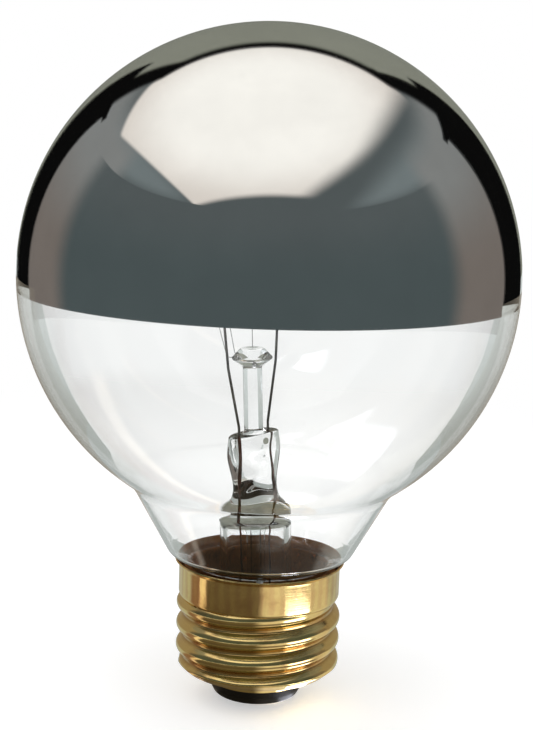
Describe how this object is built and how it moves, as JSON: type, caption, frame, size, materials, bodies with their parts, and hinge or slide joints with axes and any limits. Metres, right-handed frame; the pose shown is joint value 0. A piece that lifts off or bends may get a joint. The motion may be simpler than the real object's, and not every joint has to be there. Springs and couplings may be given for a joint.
{
  "type": "silver crown globe bulb",
  "caption": "Clear glass globe lamp with a mirrored upper half, glass stem, filament and brass medium screw base.",
  "frame": {"origin": "centre of the flat on the solder of the tip contact, the lamp's lowest point", "axes": "+Z along the lamp's axis from the tip to the crown; -Y towards the side where the side lead is welded to the rim"},
  "size_m": [0.0794, 0.0794, 0.1098],
  "materials": {
    "clear_glass": "clear blown soda-lime glass, smooth",
    "mirror_film": "bright evaporated aluminium film",
    "stem_glass": "clear lead glass with a faint green-gray tint",
    "sealing_wire": "copper-clad sealing wire, red-brown in the glass",
    "nickel_wire": "drawn nickel wire, dull",
    "copper_wire": "drawn bare copper wire",
    "tungsten_wire": "coiled tungsten wire, dark gray",
    "molybdenum_wire": "drawn molybdenum wire",
    "brass_shell": "rolled sheet brass, bright with fine drawing lines",
    "black_glass": "opaque black moulded glass, glossy",
    "cement": "baked brown basing cement, matte",
    "brass_contact": "stamped brass, tinned near the solder",
    "solder": "tin-lead solder, dull silver"
  },
  "bodies": {
    "root": {"glass_envelope": "clear_glass", "silver_crown": "mirror_film", "stem_flare": "stem_glass", "exhaust_tube": "stem_glass", "support_rod": "stem_glass", "seal_wire_left": "sealing_wire", "seal_wire_right": "sealing_wire", "inner_lead_left": "nickel_wire", "inner_lead_right": "nickel_wire", "outer_lead_side": "copper_wire", "outer_lead_centre": "copper_wire", "filament": "tungsten_wire", "support_wire_1": "molybdenum_wire", "support_wire_2": "molybdenum_wire", "support_wire_3": "molybdenum_wire", "screw_shell": "brass_shell", "base_insulator": "black_glass", "basing_cement": "cement", "contact_plate": "brass_contact", "tip_solder": "solder", "side_weld": "solder"}
  },
  "joints": []
}
